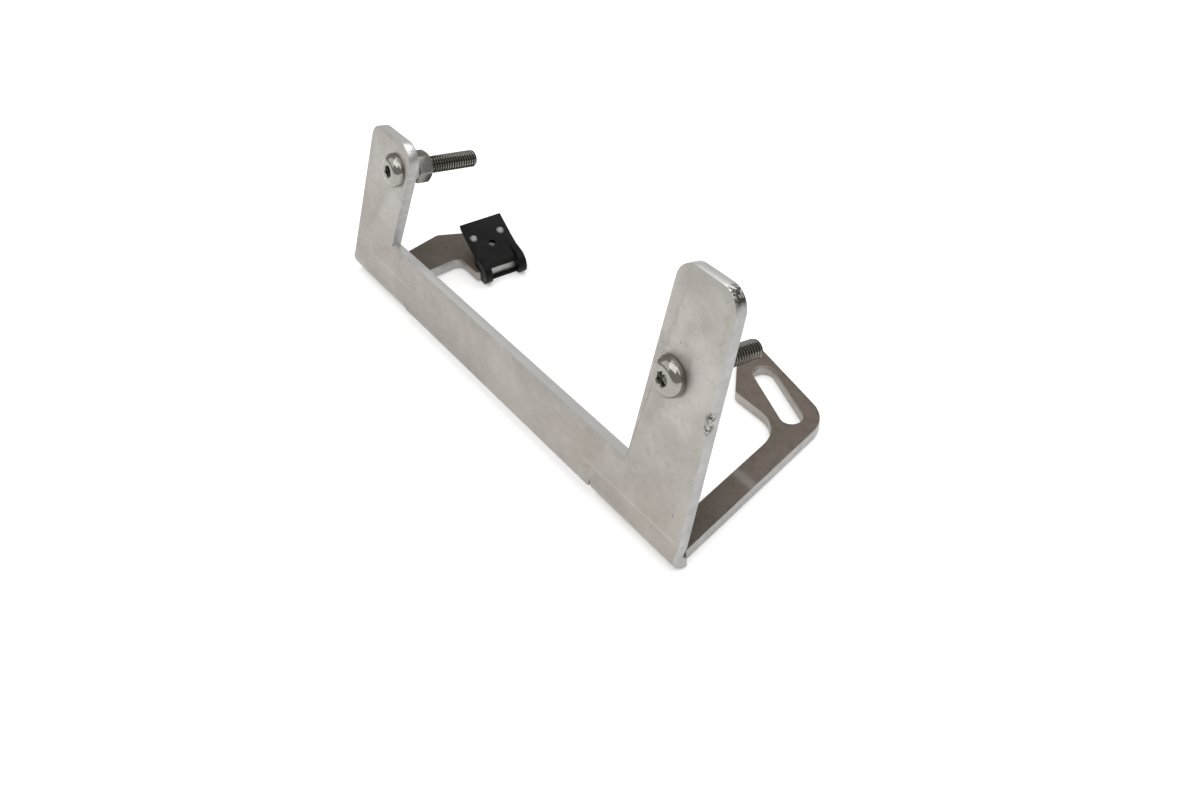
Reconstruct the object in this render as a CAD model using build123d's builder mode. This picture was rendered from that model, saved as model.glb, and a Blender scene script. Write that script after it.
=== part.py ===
from build123d import *
import math
import os

# Bent sheet bracket: a leaning front plate with two unequal uprights, two arms folded back from
# its lower edge, a stud screw and nut on each upright, and a moulded clip pushed on the left foot.
# Frame: +X to the right seen from the front, +Y to the back, +Z up, origin at the bottom centre.
# Plate outlines are written as (distance from the left end, distance up the plate).
# Arm outlines are written as (distance from the left end, distance back from the plate's foot).

# --- driving dimensions, mm ---
width = 159.5           # overall length of the plate
depth = 68.58           # front of the bar to the back of the right foot
sheet = 3.0             # sheet thickness
lean = 12.0             # degrees the plate leans back over the arms
bend_inner = 1.1        # inside radius of the folds
jaw = 0.4               # clip thickness under the left foot, which lifts the arms off the floor

bar_top = 16.6          # height of the bar between the uprights
left_top = 49.9         # height of the left upright, up the plate
right_edge = 159.6      # outer edge of the right upright at its top, before rounding
right_top = 71.4        # height of the right upright, up the plate
upright_corner = 5.2    # rounding of the upright's upper corners
left_tab = (0.0, 33.0)      # stretch of the lower edge that is folded into the left arm
right_tab = (125.6, 157.6)  # stretch that is folded into the right arm
relief = 0.4            # width of the notch beside a fold

stud_left = (25.6, 40.9)    # screw positions on the plate
stud_right = (145.6, 44.8)
stud_hole_r = 2.75

slot_centre = (129.5, 58.8)
slot_length = 24.0
slot_width = 6.0
slot_turn = -20.0       # degrees from the X axis

# M5 x 25 button head socket screw and M5 hexagon nut
crest_r = 2.45          # the free end is drawn plain, at the thread's outside radius
neck_r = 2.05           # root radius, inside the plate, washer and nut
neck_length = 10.0
screw_length = 25.0
tip_chamfer = 0.5
head_r = 4.75
head_height = 2.75
head_rim = 0.45         # straight band at the foot of the head
socket_flats = 3.0
socket_depth = 1.7
nut_flats = 8.0
nut_height = 4.5
nut_bore_r = 2.5
washer_r = 4.3
washer_bore_r = 2.65
washer_height = 2.0     # plain and spring washer together
nut_chamfer_r = 3.75    # flat ring left on each face of the nut

foot_end_front = (31.2, 26.1)   # corners of the left foot's free end
foot_end_back = (33.3, 42.2)

# Clip, written as (distance beyond the foot's end, height above the foot's top)
clip_width = 13.8
leaf_tip = (-13.2, 9.6)
leaf_root = (1.0, 2.5)
leaf_thickness = 1.2
fit_gap = 0.05          # play between the clip and the foot
grip = 4.0              # how far the clip reaches over the foot
strap_width = 2.3       # each of the two cheeks that wrap round the foot's end
cheek_top = (0.8, 4.1)
cheek_nose = (4.5, 0.4)
lip_reach = 0.9         # how far the lower lip stands beyond the foot's end
lip_top = -2.5
rivet_pitch = 9.0
rivet_shift = -0.3      # the pair sits a little towards the clip's front side
rivet_r = 0.8
rivet_head_r = 1.35
rivet_head_height = 0.6
rivet_from_tip = 5.9    # along the leaf
hole_from_tip = 9.1
hole_r = 1.1            # small hole through the leaf and its backing strip
strip_thickness = 0.6
strip_size = (7.0, 12.2)    # along and across the leaf
strip_corner = 1.2

lean_sin = math.sin(math.radians(lean))
lean_cos = math.cos(math.radians(lean))
mid_x = width / 2
mid_y = depth / 2
arm_floor = jaw
arm_top = jaw + sheet
bend_outer = bend_inner + sheet
bend_back = (bend_outer + bend_inner * lean_sin) / lean_cos   # fold centre behind the plate's foot
bend_rise = bend_back * lean_sin + bend_inner * lean_cos      # where the plate's flat part starts

# Sketch planes. On the front face, local x is X and local y climbs the leaning plate.
plate_front = Plane(origin=(-mid_x, -mid_y, arm_top), x_dir=(1, 0, 0), z_dir=(0, -lean_cos, lean_sin))
arms_under = Plane(origin=(-mid_x, -mid_y, arm_floor), x_dir=(1, 0, 0), z_dir=(0, 0, 1))


def fold_profile():
    """Cross-section of a fold, in a plane whose x is Y and whose y is Z."""
    centre = (bend_back, bend_inner)
    half = math.radians(lean / 2 - 45)
    low_outer = (bend_back, bend_inner - bend_outer)
    low_inner = (bend_back, 0)
    high_outer = (centre[0] - bend_outer * lean_cos, centre[1] + bend_outer * lean_sin)
    high_inner = (centre[0] - bend_inner * lean_cos, centre[1] + bend_inner * lean_sin)
    mid_dir = (-math.cos(half), math.sin(half))
    mid_outer = (centre[0] + bend_outer * mid_dir[0], centre[1] + bend_outer * mid_dir[1])
    mid_inner = (centre[0] + bend_inner * mid_dir[0], centre[1] + bend_inner * mid_dir[1])
    ThreePointArc(low_outer, mid_outer, high_outer)
    Line(high_outer, high_inner)
    ThreePointArc(high_inner, mid_inner, low_inner)
    Line(low_inner, low_outer)


# --- bracket: one piece of sheet ---
with BuildPart() as bracket:
    # plate with its two uprights, above the folds
    with BuildSketch(plate_front) as plate_outline:
        with BuildLine():
            Polyline(
                (left_tab[0], bend_rise), (right_tab[1], bend_rise), (right_tab[1] + 0.6, bend_rise + 3),
                (right_edge, right_top), (141.8, right_top), (136.6, bar_top), (24.2, bar_top),
                (34.8, left_top), (12.1, left_top), (left_tab[0] + 0.5, bend_rise + 1.2), close=True,
            )
        make_face()
        fillet(plate_outline.vertices().filter_by_position(Axis.Y, left_top, right_top), upright_corner)
    extrude(amount=-sheet)
    # lower strip of the bar between the folds
    with BuildSketch(plate_front):
        with BuildLine():
            Polyline(
                (left_tab[1] + relief, 0), (right_tab[0] - relief, 0),
                (right_tab[0] - relief, bend_rise), (left_tab[1] + relief, bend_rise), close=True,
            )
        make_face()
    extrude(amount=-sheet)
    # the two folds
    for tab in (left_tab, right_tab):
        fold_plane = Plane(origin=(tab[0] - mid_x, -mid_y, arm_top), x_dir=(0, 1, 0), z_dir=(1, 0, 0))
        with BuildSketch(fold_plane):
            with BuildLine():
                fold_profile()
            make_face()
        extrude(amount=tab[1] - tab[0])
    # left arm and its foot
    with BuildSketch(arms_under) as left_arm:
        with BuildLine():
            FilletPolyline(
                (left_tab[0], bend_back), (left_tab[0], 10.0), (7.4, 12.0), (4.6, 27.4), (13.8, 42.3),
                foot_end_back, foot_end_front, (20.5, 26.4), (20.5, 12.0), (left_tab[1], 11.0),
                (left_tab[1], bend_back),
                radius=(2.0, 4.0, 1.5, 3.0, 1.5, 1.2, 2.6, 3.0, 2.0),
            )
            Line((left_tab[1], bend_back), (left_tab[0], bend_back))
        make_face()
    extrude(amount=sheet)
    # right arm, its foot and the long slot
    with BuildSketch(arms_under) as right_arm:
        with BuildLine():
            FilletPolyline(
                (right_tab[0], bend_back), (right_tab[0], 11.0), (147.4, 12.0), (139.6, 50.8),
                (121.9, 50.8), (109.6, 62.6), (111.3, 68.9), (144.4, 62.4), (156.0, 5.6),
                (right_tab[1], bend_back),
                radius=(2.0, 4.0, 9.5, 3.0, 4.0, 2.0, 9.5, 1.0),
            )
            Line((right_tab[1], bend_back), (right_tab[0], bend_back))
        make_face()
        with Locations(Location(slot_centre, slot_turn)):
            SlotOverall(slot_length, slot_width, mode=Mode.SUBTRACT)
    extrude(amount=sheet)
    # clearance holes for the studs
    with BuildSketch(plate_front):
        with Locations(stud_left, stud_right):
            Circle(stud_hole_r)
    extrude(amount=-sheet, mode=Mode.SUBTRACT)

# --- screws and nuts ---
def stud_plane(spot):
    """Plane on the plate's front face at a stud, with z pointing backwards along the screw."""
    origin = plate_front.from_local_coords(Vector(spot[0], spot[1], 0))
    return Plane(origin=origin, x_dir=(1, 0, 0), z_dir=(0, lean_cos, -lean_sin))


def make_screw(spot):
    base = stud_plane(spot)
    with BuildPart() as screw:
        section = Plane(origin=base.origin, x_dir=base.x_dir, z_dir=-base.y_dir)
        with BuildSketch(section):
            with BuildLine():
                Polyline(
                    (0, 0), (neck_r, 0), (neck_r, neck_length), (crest_r, neck_length),
                    (crest_r, screw_length - tip_chamfer),
                    (crest_r - tip_chamfer, screw_length), (0, screw_length), close=True,
                )
            make_face()
        revolve(axis=Axis(base.origin, base.z_dir))
        with BuildSketch(section):
            with BuildLine():
                Line((0, 0), (head_r, 0))
                Line((head_r, 0), (head_r, -head_rim))
                ThreePointArc(
                    (head_r, -head_rim), (head_r * 0.84, -head_height * 0.66), (head_r * 0.5, -head_height)
                )
                Line((head_r * 0.5, -head_height), (0, -head_height))
                Line((0, -head_height), (0, 0))
            make_face()
        revolve(axis=Axis(base.origin, base.z_dir))
        with BuildSketch(base.offset(-head_height)):
            RegularPolygon(socket_flats / 2, 6, major_radius=False)
        extrude(amount=socket_depth, mode=Mode.SUBTRACT)
    return screw


def make_washer(spot):
    with BuildPart() as washer:
        with BuildSketch(stud_plane(spot).offset(sheet)):
            Circle(washer_r)
            Circle(washer_bore_r, mode=Mode.SUBTRACT)
        extrude(amount=washer_height)
    return washer


def make_nut(spot):
    base = stud_plane(spot).offset(sheet + washer_height)
    with BuildPart() as nut:
        with BuildSketch(base):
            RegularPolygon(nut_flats / 2, 6, major_radius=False)
            Circle(nut_bore_r, mode=Mode.SUBTRACT)
        extrude(amount=nut_height)
        # the corners are turned down to a cone at both faces
        corner_r = nut_flats / math.sqrt(3)
        drop = (corner_r - nut_chamfer_r) * math.tan(math.radians(30))
        section = Plane(origin=base.origin, x_dir=base.x_dir, z_dir=-base.y_dir)
        with BuildSketch(section):
            with BuildLine():
                Polyline(
                    (0, 0), (nut_chamfer_r, 0), (corner_r, drop), (corner_r, nut_height - drop),
                    (nut_chamfer_r, nut_height), (0, nut_height), close=True,
                )
            make_face()
        revolve(axis=Axis(base.origin, base.z_dir), mode=Mode.INTERSECT)
    return nut


left_screw = make_screw(stud_left)
right_screw = make_screw(stud_right)
left_washer = make_washer(stud_left)
right_washer = make_washer(stud_right)
left_nut = make_nut(stud_left)
right_nut = make_nut(stud_right)

# --- clip ---
end_run = math.dist(foot_end_front, foot_end_back)
turn_cos = (foot_end_back[1] - foot_end_front[1]) / end_run
turn_sin = (foot_end_front[0] - foot_end_back[0]) / end_run
clip_at = ((foot_end_front[0] + foot_end_back[0]) / 2, (foot_end_front[1] + foot_end_back[1]) / 2)
clip_origin = (clip_at[0] - mid_x, clip_at[1] - mid_y, arm_top)
clip_side = Plane(origin=clip_origin, x_dir=(turn_cos, turn_sin, 0), z_dir=(turn_sin, -turn_cos, 0))
leaf_slope = (leaf_tip[1] - leaf_root[1]) / (leaf_root[0] - leaf_tip[0])
leaf_drop = leaf_thickness * math.sqrt(1 + leaf_slope ** 2)     # thickness measured straight down
foot_under = -sheet - fit_gap
clip_under = -sheet - jaw


def leaf_height(reach):
    """Height of the leaf's top face at a distance beyond the foot's end."""
    return leaf_root[1] + (leaf_root[0] - reach) * leaf_slope


# the leaf's top face: local x runs down the leaf from its tip, local y is across the clip
tip_at = clip_side.from_local_coords(Vector(leaf_tip[0], leaf_tip[1], 0))
leaf_down = clip_side.from_local_coords(Vector(leaf_root[0], leaf_root[1], 0)) - tip_at
leaf_top = Plane(origin=tip_at, x_dir=leaf_down, z_dir=leaf_down.cross(clip_side.z_dir) * -1)

rivet_spots = [(rivet_from_tip, rivet_shift + side * rivet_pitch / 2) for side in (1, -1)]

with BuildPart() as clip_body:
    # leaf and the block that carries it on the foot
    with BuildSketch(clip_side):
        with BuildLine():
            Polyline(
                leaf_tip, leaf_root, (leaf_root[0], leaf_root[1] - leaf_drop),
                (fit_gap, leaf_height(fit_gap) - leaf_drop), (fit_gap, fit_gap), (-grip, fit_gap),
                (-grip, leaf_height(-grip) - leaf_drop), (leaf_tip[0] + 0.3, leaf_tip[1] - leaf_drop), close=True,
            )
        make_face()
    extrude(amount=clip_width / 2, both=True)
    # lower lip and jaw under the foot
    with BuildSketch(clip_side):
        with BuildLine():
            Polyline(
                (lip_reach, lip_top), (lip_reach, clip_under), (-grip, clip_under), (-grip, foot_under),
                (fit_gap, foot_under), (fit_gap, lip_top), close=True,
            )
        make_face()
    extrude(amount=clip_width / 2, both=True)
    # two cheeks that join the leaf to the lip round the foot's end
    for side in (1, -1):
        with BuildSketch(clip_side.offset(side * clip_width / 2)):
            with BuildLine():
                Polyline((-6.4, leaf_height(-6.4)), (-2.6, 4.55), cheek_top)
                ThreePointArc(cheek_top, cheek_nose, (lip_reach, clip_under))
                Polyline(
                    (lip_reach, clip_under), (-0.5, clip_under), (-0.5, foot_under), (fit_gap, foot_under),
                    (fit_gap, fit_gap), (-grip, fit_gap), (-grip, leaf_height(-grip) - leaf_drop / 2),
                    (-6.4, leaf_height(-6.4)),
                )
            make_face()
        extrude(amount=-side * strap_width)
    with BuildSketch(leaf_top):
        with Locations(*rivet_spots):
            Circle(rivet_r)
        with Locations((hole_from_tip, 0)):
            Circle(hole_r)
    extrude(amount=-leaf_thickness - 0.2, mode=Mode.SUBTRACT)

strip_top = leaf_top.offset(-leaf_thickness)
with BuildPart() as clip_strip:
    with BuildSketch(strip_top):
        with Locations((rivet_from_tip + 0.6, 0)):
            RectangleRounded(strip_size[0], strip_size[1], strip_corner)
        with Locations(*rivet_spots):
            Circle(rivet_r, mode=Mode.SUBTRACT)
        with Locations((hole_from_tip, 0)):
            Circle(hole_r, mode=Mode.SUBTRACT)
    extrude(amount=-strip_thickness)

with BuildPart() as clip_rivets:
    stack = leaf_thickness + strip_thickness
    for side in (1, -1):
        across = rivet_shift + side * rivet_pitch / 2
        centre = leaf_top.from_local_coords(Vector(rivet_from_tip, across, 0))
        section = Plane(origin=centre, x_dir=leaf_top.x_dir, z_dir=-leaf_top.y_dir)
        with BuildSketch(section):
            with BuildLine():
                Line((0, rivet_head_height), (0, -stack - rivet_head_height))
                Line((0, -stack - rivet_head_height), (rivet_head_r * 0.6, -stack - rivet_head_height))
                Line((rivet_head_r * 0.6, -stack - rivet_head_height), (rivet_head_r, -stack))
                Line((rivet_head_r, -stack), (rivet_r, -stack))
                Line((rivet_r, -stack), (rivet_r, 0))
                Line((rivet_r, 0), (rivet_head_r, 0))
                ThreePointArc(
                    (rivet_head_r, 0), (rivet_head_r * 0.8, rivet_head_height * 0.7),
                    (rivet_head_r * 0.4, rivet_head_height),
                )
                Line((rivet_head_r * 0.4, rivet_head_height), (0, rivet_head_height))
            make_face()
        revolve(axis=Axis(centre, leaf_top.z_dir))

# --- write one file per piece ---
os.makedirs("parts", exist_ok=True)
bracket.part.label = "bracket"
export_step(bracket.part, "parts/bracket.step")
left_screw.part.label = "left_screw"
export_step(left_screw.part, "parts/left_screw.step")
right_screw.part.label = "right_screw"
export_step(right_screw.part, "parts/right_screw.step")
left_washer.part.label = "left_washer"
export_step(left_washer.part, "parts/left_washer.step")
right_washer.part.label = "right_washer"
export_step(right_washer.part, "parts/right_washer.step")
left_nut.part.label = "left_nut"
export_step(left_nut.part, "parts/left_nut.step")
right_nut.part.label = "right_nut"
export_step(right_nut.part, "parts/right_nut.step")
clip_body.part.label = "clip_body"
export_step(clip_body.part, "parts/clip_body.step")
clip_strip.part.label = "clip_strip"
export_step(clip_strip.part, "parts/clip_strip.step")
clip_rivets.part.label = "clip_rivets"
export_step(clip_rivets.part, "parts/clip_rivets.step")
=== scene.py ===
"""Looks for the bent sheet bracket: softened metal pieces, threaded screws, satin clip, studio.

Everything is in metres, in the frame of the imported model: +X to the right seen from the front,
+Y to the back, +Z up, with the folded arms lying flat.
"""
import math

import bmesh
import bpy
from mathutils import Matrix, Vector


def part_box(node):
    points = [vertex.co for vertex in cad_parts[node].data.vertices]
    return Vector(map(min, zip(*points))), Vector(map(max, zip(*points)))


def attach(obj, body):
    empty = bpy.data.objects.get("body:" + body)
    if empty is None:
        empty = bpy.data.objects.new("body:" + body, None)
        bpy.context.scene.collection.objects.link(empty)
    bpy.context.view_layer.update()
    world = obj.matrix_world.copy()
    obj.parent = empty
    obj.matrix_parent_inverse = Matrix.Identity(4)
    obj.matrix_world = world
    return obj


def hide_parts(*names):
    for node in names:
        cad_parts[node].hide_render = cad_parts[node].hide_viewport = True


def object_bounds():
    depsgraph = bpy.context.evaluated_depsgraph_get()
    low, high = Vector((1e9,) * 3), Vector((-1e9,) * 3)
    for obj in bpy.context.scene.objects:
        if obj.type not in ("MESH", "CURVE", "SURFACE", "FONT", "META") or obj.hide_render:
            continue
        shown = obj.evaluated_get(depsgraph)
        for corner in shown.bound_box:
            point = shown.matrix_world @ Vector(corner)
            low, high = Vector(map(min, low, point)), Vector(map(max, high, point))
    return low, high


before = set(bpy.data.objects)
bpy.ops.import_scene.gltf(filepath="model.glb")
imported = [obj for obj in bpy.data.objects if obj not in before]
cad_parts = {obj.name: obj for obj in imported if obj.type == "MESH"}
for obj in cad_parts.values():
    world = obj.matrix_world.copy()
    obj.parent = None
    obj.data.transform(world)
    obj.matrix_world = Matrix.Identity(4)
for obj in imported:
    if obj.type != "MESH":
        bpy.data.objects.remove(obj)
cad_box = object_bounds()

MM = 0.001
LEAN = math.radians(12)             # the plate leans back over the arms by this much
PLATE_UP = Vector((0, math.sin(LEAN), math.cos(LEAN)))
PLATE_BACK = Vector((0, math.cos(LEAN), -math.sin(LEAN)))
ARM_TOP = 3.4 * MM                  # height of the arms' upper face
LEFT_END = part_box("bracket")[0][0]
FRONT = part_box("bracket")[0][1]
SCREW_PLACES = {"left": (25.6, 40.9), "right": (145.6, 44.8)}


def plate_point(along, up, back=0.0):
    """A place on the plate, in mm from its left end, up its front face and behind that face."""
    foot = Vector((LEFT_END, FRONT, ARM_TOP))
    return foot + Vector((along * MM, 0, 0)) + PLATE_UP * (up * MM) + PLATE_BACK * (back * MM)


# ---------------------------------------------------------------- material helpers

class Shader:
    """A node tree with short calls for the nodes that the materials below share."""

    def __init__(self, name):
        self.material = bpy.data.materials.new(name)
        self.material.use_nodes = True
        self.tree = self.material.node_tree
        self.principled = self.tree.nodes["Principled BSDF"]
        self.place = self.tree.nodes.new("ShaderNodeTexCoord").outputs["Object"]
        self.normal = self.tree.nodes.new("ShaderNodeNewGeometry").outputs["True Normal"]

    def link(self, value, socket):
        if isinstance(value, bpy.types.NodeSocket):
            self.tree.links.new(value, socket)
        else:
            socket.default_value = value

    def math(self, operation, a, b=0.0):
        node = self.tree.nodes.new("ShaderNodeMath")
        node.operation = operation
        self.link(a, node.inputs[0])
        self.link(b, node.inputs[1])
        return node.outputs[0]

    def dot(self, vector, direction):
        node = self.tree.nodes.new("ShaderNodeVectorMath")
        node.operation = "DOT_PRODUCT"
        self.link(vector, node.inputs[0])
        node.inputs[1].default_value = direction
        return node.outputs["Value"]

    def distance(self, vector, point):
        node = self.tree.nodes.new("ShaderNodeVectorMath")
        node.operation = "DISTANCE"
        self.link(vector, node.inputs[0])
        node.inputs[1].default_value = point
        return node.outputs["Value"]

    def from_line(self, vector, point, direction):
        """How far vector lies from the line through point."""
        nodes = [self.tree.nodes.new("ShaderNodeVectorMath") for _ in range(3)]
        for node, operation in zip(nodes, ("SUBTRACT", "CROSS_PRODUCT", "LENGTH")):
            node.operation = operation
        self.link(vector, nodes[0].inputs[0])
        nodes[0].inputs[1].default_value = point
        self.link(nodes[0].outputs[0], nodes[1].inputs[0])
        nodes[1].inputs[1].default_value = direction
        self.link(nodes[1].outputs[0], nodes[2].inputs[0])
        return nodes[2].outputs["Value"]

    def mapped(self, scale, turn=(0, 0, 0)):
        node = self.tree.nodes.new("ShaderNodeMapping")
        self.link(self.place, node.inputs["Vector"])
        node.inputs["Scale"].default_value = scale
        node.inputs["Rotation"].default_value = [math.radians(angle) for angle in turn]
        return node.outputs["Vector"]

    def noise(self, scale, detail=3.0, roughness=0.55, vector=None):
        node = self.tree.nodes.new("ShaderNodeTexNoise")
        self.link(self.place if vector is None else vector, node.inputs["Vector"])
        node.inputs["Scale"].default_value = scale
        node.inputs["Detail"].default_value = detail
        node.inputs["Roughness"].default_value = roughness
        return node.outputs["Fac"]

    def step(self, value, low, high):
        """0 below low, 1 above high, smooth between them; low may be the larger one."""
        node = self.tree.nodes.new("ShaderNodeMapRange")
        node.interpolation_type = "SMOOTHSTEP"
        self.link(value, node.inputs["Value"])
        start, end = (0.0, 1.0) if low < high else (1.0, 0.0)
        node.inputs["From Min"].default_value = min(low, high)
        node.inputs["From Max"].default_value = max(low, high)
        node.inputs["To Min"].default_value = start
        node.inputs["To Max"].default_value = end
        return node.outputs["Result"]

    def mix(self, factor, a, b):
        node = self.tree.nodes.new("ShaderNodeMix")
        node.data_type = "RGBA"
        self.link(factor, node.inputs["Factor"])
        for socket, value in ((node.inputs[6], a), (node.inputs[7], b)):
            self.link(value if isinstance(value, bpy.types.NodeSocket) else (*value, 1.0), socket)
        return node.outputs[2]

    def span(self, factor, low, high):
        """A number that runs from low to high as factor goes from 0 to 1."""
        node = self.tree.nodes.new("ShaderNodeMapRange")
        self.link(factor, node.inputs["Value"])
        node.inputs["To Min"].default_value = low
        node.inputs["To Max"].default_value = high
        return node.outputs["Result"]

    def bump(self, height, strength, distance, below=None):
        node = self.tree.nodes.new("ShaderNodeBump")
        self.link(height, node.inputs["Height"])
        node.inputs["Strength"].default_value = strength
        node.inputs["Distance"].default_value = distance
        if below is not None:
            self.link(below, node.inputs["Normal"])
        return node.outputs["Normal"]

    def finish(self, color, roughness, metallic, normal=None):
        inputs = self.principled.inputs
        self.link(color if isinstance(color, bpy.types.NodeSocket) else (*color, 1.0), inputs["Base Color"])
        self.link(roughness, inputs["Roughness"])
        inputs["Metallic"].default_value = metallic
        if normal is not None:
            self.link(normal, inputs["Normal"])
        return self.material


# ---------------------------------------------------------------- materials

SCRATCH_TURNS = ((0, 32, 20), (12, -48, -25), (0, 75, 10), (20, 10, 40))

# places on the sheet, in mm from the plate's left end and up its front face
PRESS_LINES = ((10, 37, 8.0), (121, 158, 6.5))      # start, end and height of each
PRESS_FADE = 2
# the rounded corner that gets a painted dark reflection, in specks
DARK_REFLECTION_CORNER = (157.4, 70.4, 1.5)                   # the third number is behind the front face
BURNT_EDGE = 159.1
BURNT_HEIGHTS = (42.2, 39.6)


def sheet_aluminium():
    """Raw rolled sheet: cloudy satin faces, fine scratches, brighter cut edges, fold and burn marks, and
    painted light: shade on the arms and the plate's foot, highlights on upward cut edges and fold lines, a
    dark reflection on one corner.
    """
    s = Shader("sheet_aluminium")
    height = s.dot(s.place, (0, 0, 1))
    upper = s.step(height, 5.0 * MM, 6.5 * MM)
    on_plate = s.math("ABSOLUTE", s.dot(s.normal, PLATE_BACK))
    on_arm = s.math("ABSOLUTE", s.dot(s.normal, (0, 0, 1)))
    arm_share = s.math("MULTIPLY", on_arm, s.math("SUBTRACT", 1.0, upper))
    sheet_face = s.math("MAXIMUM", on_plate, arm_share)
    edge = s.step(sheet_face, 0.75, 0.35)
    arm_face = s.math("MULTIPLY", s.step(on_arm, 0.9, 0.98), s.math("SUBTRACT", 1.0, upper))

    clouds = s.noise(75, 4.0, 0.6)
    color = s.mix(s.step(clouds, 0.34, 0.68), (0.4, 0.376, 0.35), (0.485, 0.462, 0.436))
    mottle = s.noise(520, 4.0, 0.65)
    color = s.mix(s.math("MULTIPLY", s.step(mottle, 0.5, 0.72), 0.3), color, (0.26, 0.24, 0.218))
    rolled = s.noise(1.0, 2.0, 0.5, s.mapped((160, 900, 900)))
    color = s.mix(s.math("MULTIPLY", s.step(rolled, 0.5, 0.75), 0.12), color, (0.54, 0.52, 0.49))

    # fine short scratches in several directions, each a thin band of a stretched noise
    scratches = None
    for turn in SCRATCH_TURNS:
        streak = s.noise(1.0, 1.0, 0.4, s.mapped((110, 1700, 1700), turn))
        off_band = s.math("ABSOLUTE", s.math("SUBTRACT", streak, 0.63))
        thin = s.math("SUBTRACT", 1.0, s.step(off_band, 0.0, 0.01))
        scratches = thin if scratches is None else s.math("MAXIMUM", scratches, thin)
    broken = s.math("MULTIPLY", scratches, s.step(s.noise(170, 2.0), 0.5, 0.62))
    color = s.mix(s.math("MULTIPLY", broken, 0.32), color, (0.68, 0.66, 0.63))

    # painted shade: the plate is darker and warmer towards its foot
    low = s.step(height, 45 * MM, 4 * MM)
    color = s.mix(s.math("MULTIPLY", low, 0.45), color, (0.29, 0.258, 0.228))

    # painted shade and dark reflection: the arms' upper faces are much darker and browner, most of all beside
    # the plate
    depth = s.math("SUBTRACT", s.dot(s.place, (0, 1, 0)), FRONT)
    shade_beside_plate = s.step(depth, 40 * MM, 6 * MM)
    arm_painted_shade = s.mix(shade_beside_plate, (0.185, 0.155, 0.132), (0.105, 0.086, 0.073))
    arm_painted_shade = s.mix(s.math("MULTIPLY", s.step(mottle, 0.45, 0.7), 0.4), arm_painted_shade, (0.08, 0.066, 0.057))
    color = s.mix(s.math("MULTIPLY", arm_face, 0.85), color, arm_painted_shade)

    # cut edges: cooler, with fine striations through the sheet, and a painted highlight where they face up
    striation = s.noise(1.0, 2.0, 0.6, s.mapped((1500, 260, 260)))
    cut = s.mix(striation, (0.27, 0.268, 0.262), (0.5, 0.497, 0.49))
    upward_highlight = s.step(s.dot(s.normal, PLATE_UP), 0.5, 0.9)
    cut = s.mix(s.math("MULTIPLY", upward_highlight, upper), cut, (0.74, 0.74, 0.73))
    color = s.mix(edge, color, cut)

    # lines that the folding tool pressed into the plate, one above each fold, each with a painted highlight
    # along it
    along = s.math("SUBTRACT", s.dot(s.place, (1, 0, 0)), LEFT_END)
    foot = plate_point(0, 0)
    up = s.math("SUBTRACT", s.dot(s.place, PLATE_UP), foot.dot(PLATE_UP))
    press_line_and_highlight = None
    for start, end, level in PRESS_LINES:
        begun = s.step(along, start * MM, (start + PRESS_FADE) * MM)
        not_over = s.step(along, end * MM, (end - PRESS_FADE) * MM)
        off_line = s.math("ABSOLUTE", s.math("SUBTRACT", up, level * MM))
        line = s.step(off_line, 0.45 * MM, 0.05 * MM)
        mark = s.math("MULTIPLY", s.math("MULTIPLY", begun, not_over), line)
        press_line_and_highlight = mark if press_line_and_highlight is None else s.math("MAXIMUM", press_line_and_highlight, mark)
    color = s.mix(s.math("MULTIPLY", press_line_and_highlight, 0.25), color, (0.6, 0.58, 0.55))

    # burn specks on the right upright's outer edge, a painted dark reflection broken into specks on its
    # rounded corner, and a few pits elsewhere
    speck = s.noise(950, 2.0, 0.7)
    corner = s.step(s.distance(s.place, plate_point(*DARK_REFLECTION_CORNER)), 3.2 * MM, 1.6 * MM)
    burn_and_dark_reflection = s.math("MULTIPLY", edge, corner)
    for burnt_height in BURNT_HEIGHTS:
        place = plate_point(BURNT_EDGE, burnt_height)
        burn_and_dark_reflection = s.math("MAXIMUM", burn_and_dark_reflection, s.step(s.distance(s.place, place), 2.3 * MM, 0.5 * MM))
    burn_and_reflection_specks = s.math("MULTIPLY", burn_and_dark_reflection, s.step(speck, 0.4, 0.55))
    pits = s.math("MULTIPLY", s.step(s.noise(620, 1.0), 0.76, 0.8), 0.45)
    dark = s.math("MAXIMUM", burn_and_reflection_specks, pits)
    color = s.mix(dark, color, (0.09, 0.08, 0.07))

    shine = s.math("ADD", s.math("MULTIPLY", clouds, 0.6), s.math("MULTIPLY", edge, 0.3))
    roughness = s.span(shine, 0.52, 0.36)
    roughness = s.math("ADD", roughness, s.math("MULTIPLY", arm_face, 0.25))
    grain = s.noise(2600, 2.0, 0.6)
    normal = s.bump(grain, 0.12, 0.05 * MM)
    normal = s.bump(s.math("ADD", broken, press_line_and_highlight), 0.25, 0.03 * MM, normal)
    normal = s.bump(s.math("MULTIPLY", striation, edge), 0.35, 0.06 * MM, normal)
    return s.finish(color, roughness, 1.0, normal)


def steel(name, light, dark, rough_low, rough_high, grain_scale):
    """Stainless hardware with faint tooling marks."""
    s = Shader(name)
    marks = s.noise(grain_scale, 3.0, 0.6)
    color = s.mix(marks, dark, light)
    roughness = s.span(s.noise(grain_scale * 0.4, 2.0), rough_low, rough_high)
    return s.finish(color, roughness, 1.0, s.bump(marks, 0.08, 0.03 * MM))


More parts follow.
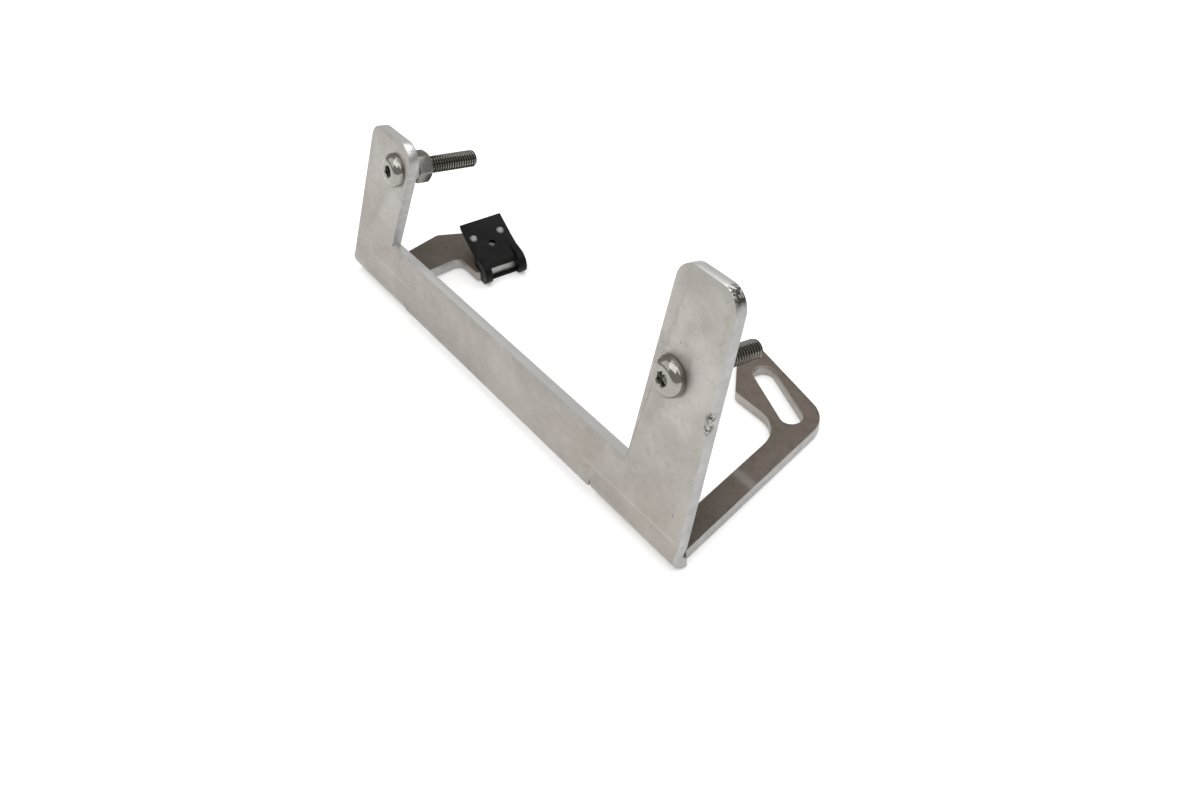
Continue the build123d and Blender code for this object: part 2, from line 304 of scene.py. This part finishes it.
def screw_steel():
    """Polished stainless head, duller darker shank, and painted shade that makes the thread's roots nearly
    black.
    """
    s = Shader("screw_steel")
    behind = s.math("SUBTRACT", s.dot(s.place, PLATE_BACK), plate_point(0, 0).dot(PLATE_BACK))
    shank = s.step(behind, 0.1 * MM, 0.6 * MM)
    # painted shade in the thread's roots, near each screw's axis
    painted_root_shade = None
    for place in SCREW_PLACES.values():
        from_axis = s.from_line(s.place, plate_point(*place), PLATE_BACK)
        in_root_shade = s.step(from_axis, 2.38 * MM, 2.1 * MM)
        painted_root_shade = in_root_shade if painted_root_shade is None else s.math("MAXIMUM", painted_root_shade, in_root_shade)
    marks = s.noise(900, 3.0, 0.6)
    color = s.mix(marks, (0.27, 0.255, 0.235), (0.37, 0.355, 0.33))
    color = s.mix(shank, color, (0.24, 0.225, 0.205))
    color = s.mix(s.math("MULTIPLY", shank, painted_root_shade), color, (0.035, 0.031, 0.027))
    roughness = s.span(s.noise(360, 2.0), 0.09, 0.17)
    return s.finish(color, roughness, 1.0, s.bump(marks, 0.08, 0.03 * MM))


def clip_plastic():
    """Satin black moulded plastic with a fine spark-eroded grain."""
    s = Shader("clip_plastic")
    cloud = s.noise(260, 3.0)
    color = s.mix(cloud, (0.0015, 0.0015, 0.0017), (0.004, 0.004, 0.0042))
    grain = s.noise(3400, 2.0, 0.7)
    roughness = s.span(cloud, 0.36, 0.52)
    s.principled.inputs["Specular IOR Level"].default_value = 0.14
    return s.finish(color, roughness, 0.0, s.bump(grain, 0.35, 0.05 * MM))


ALUMINIUM = sheet_aluminium()
SCREW_STEEL = screw_steel()
NUT_STEEL = steel("nut_steel", (0.3, 0.29, 0.27), (0.2, 0.19, 0.175), 0.22, 0.34, 700)
STRIP_STEEL = steel("strip_steel", (0.16, 0.16, 0.16), (0.1, 0.1, 0.1), 0.4, 0.55, 800)
RIVET_STEEL = steel("rivet_steel", (0.24, 0.24, 0.235), (0.17, 0.17, 0.165), 0.3, 0.42, 1200)
CLIP_PLASTIC = clip_plastic()


# ---------------------------------------------------------------- pieces

def new_piece(name, bm, body, replaced, material, smooth_angle=30):
    """Makes a scene object from bm that stands for a CAD node and rides on a body."""
    mesh = bpy.data.meshes.new(name)
    bm.to_mesh(mesh)
    bm.free()
    piece = bpy.data.objects.new(name, mesh)
    bpy.context.scene.collection.objects.link(piece)
    mesh.shade_smooth()
    mesh.set_sharp_from_angle(angle=math.radians(smooth_angle))
    mesh.materials.append(material)
    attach(piece, body)
    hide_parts(replaced)
    return piece


SHARP_EDGE = math.radians(24)       # edges that turn more than this are rounded


def softened(node, body, material, width, segments=2):
    """A copy of a CAD node whose sharp edges are rounded a little, as on the real piece."""
    bm = bmesh.new()
    bm.from_mesh(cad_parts[node].data)
    bmesh.ops.remove_doubles(bm, verts=bm.verts, dist=1e-7)
    bmesh.ops.dissolve_limit(
        bm, angle_limit=math.radians(0.6), verts=bm.verts, edges=bm.edges, use_dissolve_boundaries=False
    )
    bm.normal_update()
    hard = [
        edge for edge in bm.edges
        if len(edge.link_faces) == 2 and edge.calc_face_angle() > SHARP_EDGE
    ]
    bmesh.ops.bevel(
        bm, geom=hard, offset=width, offset_type="OFFSET", segments=segments, profile=0.5,
        affect="EDGES", clamp_overlap=True, miter_outer="ARC",
    )
    return new_piece(node + "_finished", bm, body, node, material)


def lathe_rings(bm, rings, frame_at):
    """Bridges rings of equal length; each ring is a list of (x, y, z) in the frame of frame_at."""
    loops = [[bm.verts.new(frame_at @ Vector(point)) for point in ring] for ring in rings]
    for lower, upper in zip(loops, loops[1:]):
        count = len(lower)
        for index in range(count):
            after = (index + 1) % count
            quad = (lower[index], lower[after], upper[after], upper[index])
            bm.faces.new(quad)
    return loops


# the screws, in mm; the socket is drawn a little wider than the solids' 3.0
SCREW_SIDES = 72
HEAD_R, HEAD_RIM, HEAD_HEIGHT, SOCKET_FLATS, SOCKET_DEPTH = 4.75, 0.45, 2.75, 3.2, 1.7
CREST_R, ROOT_R, PITCH, SCREW_LENGTH, NECK = 2.45, 2.04, 0.8, 25.0, 1.0


def circle(radius, depth):
    """A ring of points round the screw's axis, depth mm behind the head's seat."""
    return [
        (radius * MM * math.cos(2 * math.pi * k / SCREW_SIDES),
         radius * MM * math.sin(2 * math.pi * k / SCREW_SIDES), depth * MM)
        for k in range(SCREW_SIDES)
    ]


def hexagon(flats, depth):
    """The same number of points, on a hexagon of that width across its flats."""
    ring = []
    for k in range(SCREW_SIDES):
        angle = 2 * math.pi * k / SCREW_SIDES
        off_flat = (angle + math.pi / 6) % (math.pi / 3) - math.pi / 6
        radius = flats / 2 / math.cos(off_flat)
        ring.append((radius * MM * math.cos(angle), radius * MM * math.sin(angle), depth * MM))
    return ring


def screw_rings():
    """Rings from the bottom of the socket, over the domed head and down the threaded shank."""
    top = -HEAD_HEIGHT
    rings = [circle(0.02, top + SOCKET_DEPTH + 0.35), hexagon(SOCKET_FLATS * 0.86, top + SOCKET_DEPTH)]
    rings += [hexagon(SOCKET_FLATS, top + SOCKET_DEPTH - 0.12), hexagon(SOCKET_FLATS, top + 0.22)]
    rings += [circle(SOCKET_FLATS / 2 * 1.2, top + 0.03), circle(SOCKET_FLATS / 2 * 1.25, top)]
    dome_r = HEAD_R * 0.5
    rings.append(circle(dome_r, top))
    for k in range(1, 13):
        turn = math.radians(90 * k / 12)
        rings.append(circle(
            dome_r + (HEAD_R - dome_r) * math.sin(turn),
            top + (HEAD_HEIGHT - HEAD_RIM) * (1 - math.cos(turn)),
        ))
    rings += [circle(HEAD_R, -0.12), circle(HEAD_R - 0.12, 0.0), circle(CREST_R * 0.97, 0.0)]
    rings.append(circle(CREST_R * 0.97, NECK - 0.3))

    # one turn of thread is a flat crest, a flank, a narrow root and a flank
    profile = ((0.0, CREST_R), (0.14, CREST_R), (0.5, ROOT_R), (0.64, ROOT_R))
    turns = int((SCREW_LENGTH - NECK) / PITCH) + 2
    for turn in range(-1, turns):
        for share, radius in profile:
            ring = []
            for k in range(SCREW_SIDES):
                depth = NECK + PITCH * (turn + share + k / SCREW_SIDES)
                depth = min(max(depth, NECK - 0.2), SCREW_LENGTH)
                run_in = min(1.0, max(0.0, (depth - NECK) / PITCH))
                reach = CREST_R * 0.97 + (radius - CREST_R * 0.97) * run_in
                reach = min(reach, ROOT_R + max(0.0, SCREW_LENGTH - depth))
                angle = 2 * math.pi * k / SCREW_SIDES
                ring.append((reach * MM * math.cos(angle), reach * MM * math.sin(angle), depth * MM))
            rings.append(ring)
    rings += [circle(ROOT_R - 0.05, SCREW_LENGTH), circle(0.02, SCREW_LENGTH)]
    return rings


def screw(side, along, up):
    """A button-head socket screw with a real helical thread, in place of the plain CAD one."""
    across = Vector((1, 0, 0))
    axes = Matrix((across, PLATE_BACK.cross(across), PLATE_BACK)).transposed().to_4x4()
    seat = Matrix.Translation(plate_point(along, up)) @ axes
    bm = bmesh.new()
    lathe_rings(bm, screw_rings(), seat)
    bmesh.ops.remove_doubles(bm, verts=bm.verts, dist=2e-6)
    bmesh.ops.holes_fill(bm, edges=[edge for edge in bm.edges if edge.is_boundary], sides=0)
    bmesh.ops.recalc_face_normals(bm, faces=bm.faces)
    name = side + "_screw"
    return new_piece(name + "_threaded", bm, name, name, SCREW_STEEL, 32)


softened("bracket", "frame", ALUMINIUM, 0.22 * MM)
for side, (along, up) in SCREW_PLACES.items():
    screw(side, along, up)
    softened(side + "_washer", "frame", NUT_STEEL, 0.15 * MM)
    softened(side + "_nut", side + "_nut", NUT_STEEL, 0.12 * MM)
softened("clip_body", "clip", CLIP_PLASTIC, 0.28 * MM, 3)
softened("clip_strip", "clip", STRIP_STEEL, 0.08 * MM)
softened("clip_rivets", "clip", RIVET_STEEL, 0.12 * MM, 2)


# ---------------------------------------------------------------- studio

LIGHTS_AIM = Vector((0, 0, 0.03))


def toward(azimuth, elevation):
    """A unit vector from the part towards a lamp or viewer; azimuth 0 is in front, 90 to the right."""
    turn, rise = math.radians(azimuth), math.radians(elevation)
    return Vector((math.sin(turn) * math.cos(rise), -math.cos(turn) * math.cos(rise), math.sin(rise)))


def floor():
    """A white surface under the part that glows faintly, so that it renders white to its edges."""
    bm = bmesh.new()
    bmesh.ops.create_grid(bm, x_segments=2, y_segments=2, size=2.0)
    mesh = bpy.data.meshes.new("studio_floor")
    bm.to_mesh(mesh)
    bm.free()
    plane = bpy.data.objects.new("studio_floor", mesh)
    bpy.context.scene.collection.objects.link(plane)
    plane.location.z = cad_box[0][2] - 0.02 * MM
    s = Shader("studio_floor")
    s.principled.inputs["Emission Color"].default_value = (1.0, 1.0, 1.0, 1.0)
    s.principled.inputs["Emission Strength"].default_value = 0.26
    mesh.materials.append(s.finish(s.mix(s.noise(6, 2.0), (0.93, 0.93, 0.93), (0.95, 0.95, 0.95)), 0.8, 0.0))


def softbox(name, azimuth, elevation, distance, size, power):
    """A square area light that faces the part."""
    direction = toward(azimuth, elevation)
    lamp = bpy.data.lights.new(name, "AREA")
    lamp.energy = power
    lamp.size = size
    light = bpy.data.objects.new(name, lamp)
    bpy.context.scene.collection.objects.link(light)
    light.location = LIGHTS_AIM + direction * distance
    light.rotation_euler = (-direction).to_track_quat("-Z", "Y").to_euler()


def camera(azimuth, elevation, roll, distance, target, lens):
    """The viewing angle of the reference, on a 36 mm sensor."""
    direction = toward(azimuth, elevation)
    data = bpy.data.cameras.new("camera")
    data.lens = lens
    data.sensor_width = 36
    data.clip_start = 0.01
    view = bpy.data.objects.new("camera", data)
    bpy.context.scene.collection.objects.link(view)
    level = (-direction).to_track_quat("-Z", "Y").to_matrix().to_4x4()
    place = Matrix.Translation(Vector(target) + direction * distance)
    view.matrix_world = place @ level @ Matrix.Rotation(math.radians(roll), 4, "Z")
    bpy.context.scene.camera = view


floor()
camera(azimuth=55.6, elevation=41.8, roll=-3.05, distance=0.2915, target=(0.0212, -0.0127, 0.0024), lens=32.8)
softbox("key", azimuth=20, elevation=68, distance=1.1, size=1.0, power=5.5)
softbox("fill", azimuth=115, elevation=50, distance=1.2, size=0.8, power=3)
softbox("front_low", azimuth=-35, elevation=35, distance=1.3, size=1.1, power=3)
softbox("back", azimuth=200, elevation=60, distance=1.3, size=0.8, power=4)

world = bpy.data.worlds.new("studio")
bpy.context.scene.world = world
world.use_nodes = True
world.node_tree.nodes["Background"].inputs["Color"].default_value = (1.0, 0.99, 0.975, 1.0)
world.node_tree.nodes["Background"].inputs["Strength"].default_value = 0.42
bpy.context.scene.view_settings.view_transform = "Standard"
